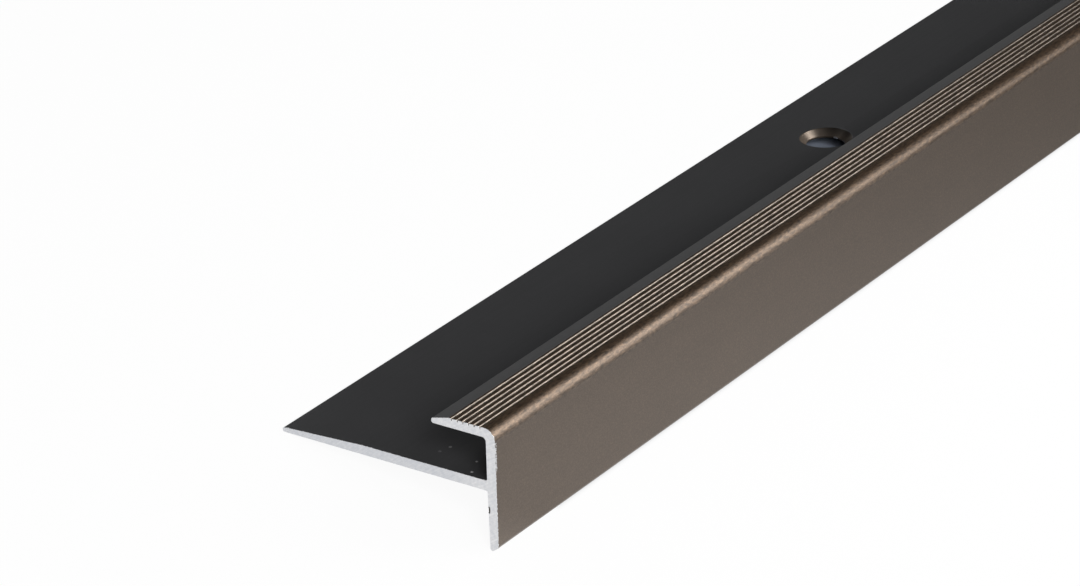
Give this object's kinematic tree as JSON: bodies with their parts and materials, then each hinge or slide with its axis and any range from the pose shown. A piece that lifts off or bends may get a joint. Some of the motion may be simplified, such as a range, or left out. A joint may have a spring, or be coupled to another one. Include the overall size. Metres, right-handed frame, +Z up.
{
  "type": "stair nose",
  "caption": "Extruded aluminium stair nose: countersunk flange, slot for the floor's edge, grooved lip with a rounded nose, and a skirt over the riser.",
  "frame": {"origin": "bottom centre of the bounding box, on the floor it lies on", "axes": "+X along the bar, from the sawn end that the picture shows to the far end; +Y from the front face back to the flange's tip; +Z up. The bar lies as it comes to rest, on the skirt's foot and the flange's tip, so its flange slopes down to the back by 14.59 degrees"},
  "size_m": [0.9, 0.0478, 0.0229],
  "materials": {
    "bronze_anodised_aluminium": "fine matt blast, dark bronze anodised, with bare sawn ends"
  },
  "bodies": {
    "root": {"stair_nose": "bronze_anodised_aluminium"}
  },
  "joints": []
}
